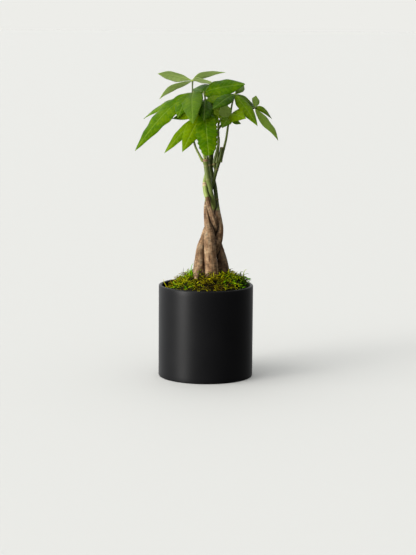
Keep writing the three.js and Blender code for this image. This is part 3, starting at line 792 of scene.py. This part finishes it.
def leafletMesh(hub, facing, leaflet, pale):
    chord = np.array(leaflet["tip"], float) - hub
    length = np.linalg.norm(chord)
    ahead = chord / length
    facing = unit(leaflet.get("facing", facing))
    up = unit(facing - ahead * facing.dot(ahead))
    # Rows of points lie closer at both ends, and columns closer by the midrib
    even = np.linspace(0, 1, blade["rows"] + 1)
    s = 0.55 * even + 0.45 * (1 - np.cos(np.pi * even)) / 2
    arch = leaflet["bulge"] * length * np.sin(np.pi * s ** leaflet["arch"])
    spine = hub + chord * s[:, None] + up * arch[:, None]
    along = unit(np.gradient(spine, s, axis=0))
    across = unit(np.cross(along, up))
    # The blade twists a little on its way to the tip
    twist = math.radians(blade["twist"]) * draw.uniform(-1, 1) * smoothStep(0.3, 1, s)[:, None]
    out = np.cross(across, along)
    across, out = across * np.cos(twist) + out * np.sin(twist), out * np.cos(twist) - across * np.sin(twist)

    half = leaflet["width"] / 2 * bladeShare(s, leaflet)
    least = np.where(s < 0.5, blade["neck"], blade["point"])
    half = np.maximum(half * smoothStep(0, blade["petiolule"], s), least)
    even = np.linspace(-1, 1, blade["columns"] + 1)
    c = np.sign(even) * (0.4 * np.abs(even) + 0.6 * np.abs(even) ** 1.7)

    # Margins run in and out, and rise and fall, with a phase of their own on each side
    run = s[:, None] * length
    lobe = np.where(c > 0, draw.uniform(0, fullTurn), draw.uniform(0, fullTurn))
    ripple = np.sin(2 * np.pi * run / blade["waveLength"] + lobe)
    flank = np.abs(c) ** 2
    inward = 1 + blade["ripple"] * np.sin(2 * np.pi * run / blade["rippleLength"] + 2 * lobe) * flank
    inward += leaflet["ragged"] * np.sin(2 * np.pi * run / blade["raggedLength"] + 3 * lobe) * flank
    x = half[:, None] * c * inward
    wide = half[:, None]
    lift = -blade["roof"] * wide * c ** 2 + blade["wave"] * wide * ripple * flank

    # The blade is quilted between its side veins, grooved over the midrib above, and ribbed below
    phase = (run - blade["veinSweep"] * np.abs(x)) / blade["veinSpacing"] + 0.5 * (x > 0)
    puff = np.abs(np.sin(np.pi * phase)) * np.sin(np.pi * np.clip(np.abs(c), 0, 1)) ** 0.7
    fullness = np.clip(wide / blade["fullHalf"], 0, 1)
    tapering = 1 - blade["taper"] * s[:, None]
    lift = lift + blade["quilt"] * puff * fullness
    top = lift - blade["groove"] * tapering * fullness * np.exp(-(x / blade["grooveWidth"]) ** 2)
    depth = blade["margin"] + (blade["thickness"] - blade["margin"]) * (1 - c ** 4)
    low = lift - depth - blade["rib"] * tapering * np.exp(-(x / blade["ribWidth"]) ** 2)

    places = spine[:, None] + across[:, None] * x[:, :, None]
    points = np.stack([
        places + out[:, None] * top[:, :, None], places + out[:, None] * low[:, :, None],
    ]).reshape(-1, 3)
    rows, columns = len(s), len(c)
    count = rows * columns
    i, k = np.meshgrid(np.arange(rows - 1), np.arange(columns - 1), indexing="ij")
    a = (i * columns + k).ravel()
    upper = np.column_stack([a, a + 1, a + columns + 1, a + columns])
    under = np.column_stack([a, a + columns, a + columns + 1, a + 1]) + count
    left = np.arange(rows - 1) * columns
    right = left + columns - 1
    foot = np.arange(columns - 1)
    head = foot + (rows - 1) * columns
    # Rims close the blade between its two skins
    rims = np.vstack([
        np.column_stack([left, left + columns, left + columns + count, left + count]),
        np.column_stack([right, right + count, right + columns + count, right + columns]),
        np.column_stack([foot, foot + count, foot + count + 1, foot + 1]),
        np.column_stack([head, head + 1, head + count + 1, head + count]),
    ])
    faces = [np.vstack([upper, under, rims])]
    wearing = np.concatenate([np.zeros(len(upper)), np.ones(len(under) + len(rims))])
    grid = np.stack([x, run + 0 * x, c + 0 * x], axis=-1).reshape(-1, 3)
    return {
        "points": points, "faces": faces, "wearing": wearing, "blade": np.vstack([grid, grid]),
        "leaf": np.tile((leaflet["tone"], leaflet.get("pale", pale), 0), (2 * count, 1)),
    }


def stalkMesh(route, hub, tone, hubTone, foot, end):
    # The petiole, thicker at both of its joints
    line, run = evenly(smoothChain([*route, hub]), stalk["step"])
    share = run / run[-1]
    girth = foot + (end - foot) * share ** 0.7
    reach = stalk["swellReach"]
    girth *= (1 + stalk["footSwell"] * np.exp(-(run / reach) ** 2)
              + stalk["endSwell"] * np.exp(-((run - run[-1]) / reach) ** 2))
    none = np.zeros((len(line), 3))
    tones = tone + (hubTone - tone) * smoothStep(*stalk["toneTurn"], share)
    return roundTube(line, girth, stalk["sides"], 2, blade=none, leaf=np.column_stack([tones, none[:, :2]]))


def knobMesh(hub, tone):
    # The swelling that the leaflets leave
    rings, sides = stalk["knobRings"], stalk["sides"]
    polar = np.pi * np.arange(1, rings) / rings
    profile = [(0, -1), *[(math.sin(t), -math.cos(t)) for t in polar], (0, 1)]
    ball, faces = turned(profile, sides)
    return {
        "points": hub + ball * stalk["knob"] * (1, 1, stalk["knobHeight"]), "faces": faces,
        "wearing": np.full(sum(len(rows) for rows in faces), 2),
        "blade": np.zeros((len(ball), 3)), "leaf": np.tile((tone, 0, 0), (len(ball), 1)),
    }


def buildLeaf(name, leaf, materials):
    hub = np.array(leaf["hub"], float)
    facing = unit(leaf["facing"])
    foot, end = leaf.get("foot", stalk["foot"]), leaf.get("end", stalk["end"])
    tone, hubTone = leaf["stalk"], leaf.get("stalkAtHub", leaf["stalk"])
    pale = leaf.get("pale", 0)
    parts = [stalkMesh(leaf["route"], leaf["hub"], tone, hubTone, foot, end)]
    parts.append(knobMesh(hub, min(tone, hubTone)))
    parts += [leafletMesh(hub, facing, leaflet, pale) for leaflet in leaf["leaflets"]]
    makePiece(name + "_blades", parts, materials, [name])


def buildLeaves():
    materials = [newMaterial("moneyTreeLeaf" + side, leafSkin, side) for side in blade["sides"]]
    materials.append(newMaterial("moneyTreePetioleSkin", petioleSkin))
    for name, leaf in leaves.items():
        buildLeaf(name, leaf, materials)
    print("leaves built")


buildLeaves()


# Moss

moss = {
    # The felt's near-black tones are partly painted shade under the shoots
    "felt": "#0d0904", "feltOlive": "#201c08", "twig": "#3a2a1c",
    "brown": "#75550c", "olive": "#a89e00", "yellow": "#c8c800", "bright": "#6fb400",
    # The mound, and the felt that lies feltDrop below its top
    "edge": 121, "rise": 20, "lean": 3.5, "crown": 0.8, "broadLump": 1.5, "smallLump": 0.8, "under": 108.3,
    "reach": 57.6, "feltDrop": 2.6, "feltEdge": 6, "feltRings": 60, "feltSides": 150, "tangle": 2.5,
    # Creases of the felt: height, size, and where in the noise
    "creases": [(1.4, 3.2, 0), (0.7, 1.5, 50)],
    # Its shoots
    "clumps": 250, "scatter": 1.6, "shoots": 7, "spread": 3.0, "joints": 11, "length": (5, 13),
    "thread": 0.46, "leafLength": 1.45, "leafFoot": 0.36, "leafRidge": 0.3, "leafShare": (0.7, 1.2),
    "curl": 3.6, "droop": (0.5, 1.7), "rising": (0.3, 1.2), "rimFlat": 0.6, "rimFrom": 40, "rimTo": 57,
    "rimLean": 3, "turn": 2.4, "turnSpread": 0.4, "toneSpread": 0.09, "strandSides": 6, "strandStep": 0.8,
    # Usual and spread of their height over the mound and of their tone, and how dead or fresh they may be
    "lift": (-1.4, 1.3), "liftRange": (-3.4, 1.0), "tone": (0.36, 0.2), "greener": 0.6, "fresh": (0.45, 1.5),
    # Spots: x, y, size and strength. The moss has sunk to the left, and shows the inside of the pot there.
    "hollow": [(-56, 5, 22, 14)], "thin": [(-56, -8, 14, 1), (-12.5, -23, 6, 1.4)],
    "green": [(-30, -44, 15, 1.2), (46, -24, 20, 1.2), (-24, -4, 12, 0.8)],
    # x, y, how far a clump stands out of the mound, and its tone
    "tallClumps": [(53, -7, 4.5, 1), (55.5, -1, 5.5, 1), (52, -14, 3.5, 0.95), (49, 3, 4, 0.9)],
    "sprigs": [
        {"route": [[-17.5, -7, 132], [-19.8, -8, 142], [-19.6, -8, 149], [-17.4, -8, 153.5]],
         "thick": 0.9, "tone": 1},
        {"route": [[-19, -9, 131], [-22, -9, 140], [-23.5, -9, 146]], "thick": 0.8, "tone": 0.95},
        {"route": [[-16, -12, 130], [-18.5, -13, 137], [-18.6, -13, 143]], "thick": 0.9, "tone": 1},
        {"route": [[11.5, -24, 130], [11, -26, 137], [10, -26, 142], [11, -26, 145]],
         "thick": 0.7, "tone": 0.55},
        {"route": [[20, -16, 130], [20.4, -17, 137], [19.4, -17, 141]], "thick": 0.8, "tone": 0.9},
        {"route": [[30, -8, 133], [29.6, -9, 140], [30.8, -9, 146.5]], "thick": 1.0, "tone": 0.65},
        {"route": [[49, 2, 128], [50, 0, 136], [51.5, -1, 142], [54, -1, 145]], "thick": 0.8, "tone": 0.8},
        {"route": [[-52, -8, 121], [-56, -6, 127], [-57, -4, 131]], "thick": 0.6, "tone": 0.5},
    ],
    "twigs": [
        {"route": [[-30.5, 2, 128], [-30.8, 2, 136], [-30.2, 2, 146]], "thick": 0.45},
        {"route": [[-37, 2, 137.5], [-30.6, 2, 138], [-23, 2, 139.5]], "thick": 0.35},
    ],
}


def spotted(x, y, spots):
    # The sum of soft round spots, each strongest at its middle
    total = 0
    for cx, cy, size, strength in spots:
        total = total + strength * np.exp(-((x - cx) ** 2 + (y - cy) ** 2) / size ** 2)
    return total


def mossHeight(x, y):
    # The top of the mound, with broad and small lumps
    share = np.minimum(1, np.hypot(x, y) / innerRadius)
    mound = moss["edge"] + moss["rise"] * (1 - share * share) ** moss["crown"]
    mound = mound + moss["lean"] * x / innerRadius
    broad = moss["broadLump"] * np.sin(0.31 * x + 0.8) * np.cos(0.27 * y)
    small = moss["smallLump"] * np.sin(0.62 * x - 0.55 * y)
    return mound + broad + small - spotted(x, y, moss["hollow"])


def mossFelt(node):
    # The old brown felt under sheet moss: matt and near black, which is partly painted shade under the
    # shoots, with olive patches.
    place = node("TexCoord")["Object"]
    tangle = node("TexNoise", {
        "Vector": place, "Scale": perMetre(moss["tangle"]), "Detail": 6.0, "Distortion": 1.5,
    })
    tint = node("ValToRGB", {"Fac": tangle["Fac"]}, stops=[(0.4, moss["felt"]), (0.65, moss["feltOlive"])])
    relief = node("Bump", {"Height": tangle["Fac"], "Strength": 0.9, "Distance": 1.5 * mm})
    return node("BsdfPrincipled", {
        "Base Color": tint[0], "Roughness": 0.95, "Normal": relief[0], "Specular IOR Level": 0.15,
    })


def mossFrond(node):
    # Living sheet moss: thin feathery shoots, matt with a faint shine, and lighter where the sun gets
    # through. Its attribute sprig is the tone, how far along the shoot, and how alive it is.
    sprig = node("SeparateXYZ", {0: node("Attribute", attribute_name="sprig")["Vector"]})
    tint = node("ValToRGB", {"Fac": sprig[0]}, stops=[
        (0.0, moss["brown"]), (0.35, moss["olive"]),
        (0.65, moss["yellow"]), (1.0, moss["bright"]),
    ])
    # Shoots are darkest at the root, down in the mound's own shade
    rooted = node("MapRange", {"Value": sprig[1], "From Max": 0.8, "To Min": 0.06, "To Max": 1.05})
    lively = node("Math", {0: rooted[0], 1: sprig[2]}, operation="MULTIPLY")
    shaded = node("VectorMath", {0: tint[0], 1: lively[0]}, operation="MULTIPLY")
    skin = node("BsdfPrincipled", {"Base Color": shaded[0], "Roughness": 0.7, "Specular IOR Level": 0.08})
    through = node("BsdfTranslucent", {"Color": shaded[0]})
    return node("MixShader", {0: 0.2, 1: skin[0], 2: through[0]})


def buildFelt():
    # The felt fills the mound down to just above the soil
    outer = innerRadius - soil["gap"]
    rings = [(outer, moss["under"]), (outer, moss["under"] + moss["feltEdge"])]
    rings += [(outer * (1 - i / moss["feltRings"]), 0) for i in range(moss["feltRings"])]
    points, faces = turned([(0, moss["under"]), *rings, (0, 0)], moss["feltSides"])
    upper = points[:, 2] < 1
    x, y = points[upper, 0], points[upper, 1]
    flat = np.column_stack([x, y, 0 * x])
    creased = sum(high * roughField(flat + shift, size) for high, size, shift in moss["creases"])
    points[upper, 2] = np.maximum(mossHeight(x, y) - moss["feltDrop"] + creased, moss["under"] + 0.5)
    material = newMaterial("oldMossFelt", mossFelt)
    makePiece("moss_felt", [{"points": points, "faces": faces}], [material], ["moss"])


def sprigRows(x, y, z, heading, lift, length, tone, bright):
    # Many shoots at once: a tapering three-sided thread with pairs of small pointed leaves along it
    joints = moss["joints"]
    count = len(x)
    t = np.arange(joints + 1) / joints
    turnAway = draw.uniform(-moss["curl"], moss["curl"], count)[:, None] * t
    droop = draw.uniform(*moss["droop"], count)[:, None] * t ** 1.3
    yaw = heading[:, None] + turnAway
    pitch = lift[:, None] - droop
    ahead = np.stack([np.cos(yaw) * np.cos(pitch), np.sin(yaw) * np.cos(pitch), np.sin(pitch)], axis=-1)
    steps = ahead * (length[:, None, None] / joints)
    root = np.column_stack([x, y, z])
    axis = root[:, None] + np.concatenate([np.zeros((count, 1, 3)), np.cumsum(steps[:, :-1], axis=1)], axis=1)

    # Shoots stay inside the pot's wall, and may lean on its rim
    away = np.hypot(axis[..., 0], axis[..., 1])
    lean = moss["rimLean"]
    room = moss["reach"] + lean * smoothStep(pot["height"], pot["height"] + lean, axis[..., 2])
    axis[..., :2] *= np.minimum(1, room / np.maximum(away, 1e-6))[..., None]

    side = np.stack([-np.sin(yaw), np.cos(yaw), np.zeros_like(yaw)], axis=-1)
    up = np.cross(ahead, side) * -1
    girth = moss["thread"] * (1 - 0.7 * t)[None, :, None]
    ring = np.stack([up, -0.5 * up + 0.87 * side, -0.5 * up - 0.87 * side], axis=2)
    thread = axis[:, :, None] + ring * girth[..., None]

    inner = np.arange(1, joints)
    size = moss["leafLength"] * np.sin(np.pi * (inner / joints) ** 0.8) ** 0.6
    leafPoints = []
    for way in (-1, 1):
        base = axis[:, inner]
        forward = ahead[:, inner]
        outward = side[:, inner] * way * 0.85 + forward * 0.55 + up[:, inner] * 0.2
        long = size[None, :, None] * draw.uniform(*moss["leafShare"], (count, joints - 1, 1))
        tip = base + outward * long
        back = base - forward * moss["leafFoot"]
        front = base + forward * moss["leafFoot"]
        high = base + up[:, inner] * moss["leafRidge"]
        leafPoints.append(np.stack([back, front, high, tip], axis=2))
    leafPoints = np.stack(leafPoints, axis=1)

    perThread = (joints + 1) * 3
    perSprig = perThread + 2 * (joints - 1) * 4
    points = np.concatenate([thread.reshape(count, -1, 3), leafPoints.reshape(count, -1, 3)], axis=1)
    i, k = np.meshgrid(np.arange(joints), np.arange(3), indexing="ij")
    a = (i * 3 + k).ravel()
    b = (i * 3 + (k + 1) % 3).ravel()
    tube = np.vstack([np.column_stack([a, b, b + 3]), np.column_stack([a, b + 3, a + 3])])
    last = joints * 3
    caps = np.array([(0, 2, 1), (last, last + 1, last + 2)])
    leafFoot = perThread + 4 * np.arange(2 * (joints - 1))
    tetra = np.array([(0, 1, 2), (0, 3, 1), (1, 3, 2), (2, 3, 0)])
    # The two sides of a shoot mirror each other, so one of them is wound the other way
    firstSide = (np.arange(len(leafFoot)) < joints - 1)[:, None, None]
    mirrored = np.where(firstSide, tetra[None], tetra[None, :, ::-1])
    leafFaces = (leafFoot[:, None, None] + mirrored).reshape(-1, 3)
    one = np.vstack([tube, caps, leafFaces])
    faces = (np.arange(count)[:, None, None] * perSprig + one[None]).reshape(-1, 3)

    where = np.concatenate([np.repeat(t, 3), np.tile(np.repeat(inner / joints, 4), 2)])
    sprig = np.stack([
        np.repeat(tone[:, None], perSprig, axis=1), np.tile(where, (count, 1)),
        np.repeat(bright[:, None], perSprig, axis=1),
    ], axis=-1)
    return {"points": points.reshape(-1, 3), "faces": [faces], "sprig": sprig.reshape(-1, 3)}


def mossClumps():
    # Clumps are spread evenly, as seeds in a sunflower are, and each has a height and a tone of its own
    i = np.arange(moss["clumps"]) + 0.5
    out = moss["reach"] * 0.97 * np.sqrt(i / moss["clumps"])
    turn = i * math.pi * (3 - math.sqrt(5))
    x = out * np.cos(turn) + draw.normal(0, moss["scatter"], len(i))
    y = out * np.sin(turn) + draw.normal(0, moss["scatter"], len(i))
    kept = np.hypot(x, y) < moss["reach"]
    for stem in stems.values():
        for px, py, _, radius in stem["chain"][1:3]:
            kept &= np.hypot(x - px, y - py) > radius + 0.4
    kept &= draw.uniform(0, 1, len(x)) > spotted(x, y, moss["thin"])
    x, y = x[kept], y[kept]
    usual, spread = moss["tone"]
    tone = usual + moss["greener"] * spotted(x, y, moss["green"]) + draw.normal(0, spread, len(x))
    tone = np.clip(tone, 0, 1)
    lift = np.clip(draw.normal(*moss["lift"], len(x)), *moss["liftRange"])
    tall = np.array(moss["tallClumps"], float)
    return (np.concatenate([one, more]) for one, more in zip((x, y, lift, tone), tall.T))


def twigBark(node):
    # A dry fallen twig: dark brown and matt.
    return node("BsdfPrincipled", {
        "Base Color": moss["twig"], "Roughness": 0.85, "Specular IOR Level": 0.2,
    })


def buildTallSprigs(material):
    # Single long shoots, and a twig in two tubes, that stand up out of the moss. Each tube tapers.
    parts = []
    for strand in moss["sprigs"] + moss["twigs"]:
        line, run = evenly(smoothChain(strand["route"]), moss["strandStep"])
        share = run / run[-1]
        girth = strand["thick"] * (1 - 0.75 * share ** 2)
        tone = np.full(len(line), strand.get("tone", 0))
        row = np.column_stack([tone, 0.4 + 0.6 * share, np.ones(len(line))])
        parts.append(roundTube(line, girth, moss["strandSides"], int("tone" not in strand), sprig=row))
    makePiece("moss_sprigs", parts, [material, newMaterial("dryTwigBark", twigBark)])


def buildMoss():
    buildFelt()
    material = newMaterial("livingSheetMoss", mossFrond)
    cx, cy, clumpLift, clumpTone = mossClumps()
    shoots = moss["shoots"]
    heading = np.repeat(draw.uniform(0, fullTurn, len(cx)), shoots)
    heading += np.tile(np.arange(shoots) * moss["turn"], len(cx))
    heading += draw.normal(0, moss["turnSpread"], len(heading))
    away = moss["spread"] * np.sqrt(draw.uniform(0.02, 1, len(heading)))
    x = np.repeat(cx, shoots) + away * np.cos(heading)
    y = np.repeat(cy, shoots) + away * np.sin(heading)
    kept = np.hypot(x, y) < moss["reach"]
    lift = np.repeat(clumpLift, shoots)
    tone = np.clip(np.repeat(clumpTone, shoots) + draw.normal(0, moss["toneSpread"], len(x)), 0, 1)
    # Each clump is more or less alive, from dead and dark to fresh
    bright = np.repeat(draw.uniform(*moss["fresh"], len(cx)), shoots) * draw.uniform(*moss["fresh"], len(x))
    x, y, heading, lift, tone, bright = (one[kept] for one in (x, y, heading, lift, tone, bright))
    z = mossHeight(x, y) + lift
    length = draw.uniform(*moss["length"], len(x))
    # Shoots by the rim lie flatter
    rim = smoothStep(moss["rimFrom"], moss["rimTo"], np.hypot(x, y))
    rising = draw.uniform(*moss["rising"], len(x)) * (1 - moss["rimFlat"] * rim)
    half = len(x) // 2
    for name, part in (("moss_inner", slice(0, half)), ("moss_outer", slice(half, None))):
        sprigs = sprigRows(*(one[part] for one in (x, y, z, heading, rising, length, tone, bright)))
        makePiece(name, [sprigs], [material])
        print(name, "has", len(sprigs["faces"][0]), "triangles")
    buildTallSprigs(material)
    print("moss built")


buildMoss()


# Floor, light and camera

studio = {
    "floor": "#ccccc9", "floorReach": 60000, "backdrop": "#edede9",
    # The sky is brightest towards skySide, and lowShare is how much of it comes from below
    "skyLight": "#f4f5f5", "skyDim": 0.26, "skyBright": 1.4, "skySide": (-0.82, 0.2, 0.53), "lowShare": 0.3,
    # A sun stands so many degrees to the right of the front and above the floor, and angle is how wide it is
    "sunTint": (1.0, 0.985, 0.96),
    "window": {"from": (-66, 38), "power": 1.35, "angle": 55},
    "lowCard": {"from": (-57, 5), "power": 3.2, "angle": 26},
}
camera = {
    # Fitted to the pot's sides, rim and foot in the photo. Pitch is how far it looks down in degrees, and the
    # focal length is in the photo's pixels.
    "place": (2.7, -2260, 479), "pitch": 8.7, "roll": 0.4, "focalPixels": 1700, "photoHeight": 555,
}


def floorPaint(node):
    # Matt paint: even and light, with hardly any sheen.
    return node("BsdfPrincipled", {
        "Base Color": studio["floor"], "Roughness": 0.8, "Specular IOR Level": 0.2,
    })


def buildFloor():
    # One large square under the pot
    reach = studio["floorReach"] * mm
    corners = [(x * reach, y * reach, 0) for x, y in ((-1, -1), (1, -1), (1, 1), (-1, 1))]
    mesh = bpy.data.meshes.new("floor")
    mesh.from_pydata(corners, [], [(0, 1, 2, 3)])
    floor = addObject("floor", mesh)
    mesh.materials.append(newMaterial("paintedMattFloor", floorPaint))
    # The floor is far larger than a real table, so it throws no light up, and the sky's lower half does
    # instead
    floor.visible_diffuse = False
    floor.visible_glossy = False
    floor.visible_shadow = False


def addSun(name, settings):
    # A sun with a wide angle gives the even, soft-edged light of one large source
    light = bpy.data.lights.new(name, "SUN")
    light.energy = settings["power"]
    light.angle = math.radians(settings["angle"])
    light.color = studio["sunTint"]
    sun = addObject(name, light)
    turn, rise = (math.radians(a) for a in settings["from"])
    towards = Vector((math.sin(turn) * math.cos(rise), -math.cos(turn) * math.cos(rise), math.sin(rise)))
    sun.rotation_euler = towards.to_track_quat("Z", "Y").to_euler()


def buildLights():
    world = bpy.data.worlds.new("studioSky")
    node = emptied(world)
    # The sky is bright to the left and behind, and dim to the right and in front
    towards = node("TexCoord")["Generated"]
    facing = node("VectorMath", {0: towards, 1: studio["skySide"]}, operation="DOT_PRODUCT")
    strength = node("MapRange", {
        "Value": facing["Value"], "From Min": -0.8, "From Max": 0.8,
        "To Min": studio["skyDim"], "To Max": studio["skyBright"],
    }, interpolation_type="SMOOTHSTEP")
    height = node("SeparateXYZ", {0: towards})[2]
    above = node("MapRange", {
        "Value": height, "From Min": -0.32, "From Max": -0.08, "To Min": studio["lowShare"], "To Max": 1.0,
    }, interpolation_type="SMOOTHSTEP")
    lit = node("Math", {0: strength[0], 1: above[0]}, operation="MULTIPLY")
    lighting = node("Background", {"Color": studio["skyLight"], "Strength": lit[0]})
    backdrop = node("Background", {"Color": studio["backdrop"], "Strength": 1.0})
    seen = node("LightPath")["Is Camera Ray"]
    both = node("MixShader", {0: seen, 1: lighting[0], 2: backdrop[0]})
    node("OutputWorld", {"Surface": both[0]})
    bpy.context.scene.world = world
    addSun("softWindow", studio["window"])
    addSun("lowCard", studio["lowCard"])


def buildCamera():
    data = bpy.data.cameras.new("photoCamera")
    data.sensor_width = 36
    data.lens = camera["focalPixels"] / camera["photoHeight"] * data.sensor_width
    data.clip_start = 0.05
    data.clip_end = 500
    eye = addObject("photoCamera", data)
    tilt = Matrix.Rotation(math.radians(90 - camera["pitch"]), 4, "X")
    roll = Matrix.Rotation(math.radians(camera["roll"]), 4, "Z")
    eye.matrix_world = Matrix.Translation(Vector(camera["place"]) * mm) @ tilt @ roll
    bpy.context.scene.camera = eye


buildFloor()
buildLights()
buildCamera()
bpy.context.scene.view_settings.view_transform = "Standard"
print("floor, light and camera set")
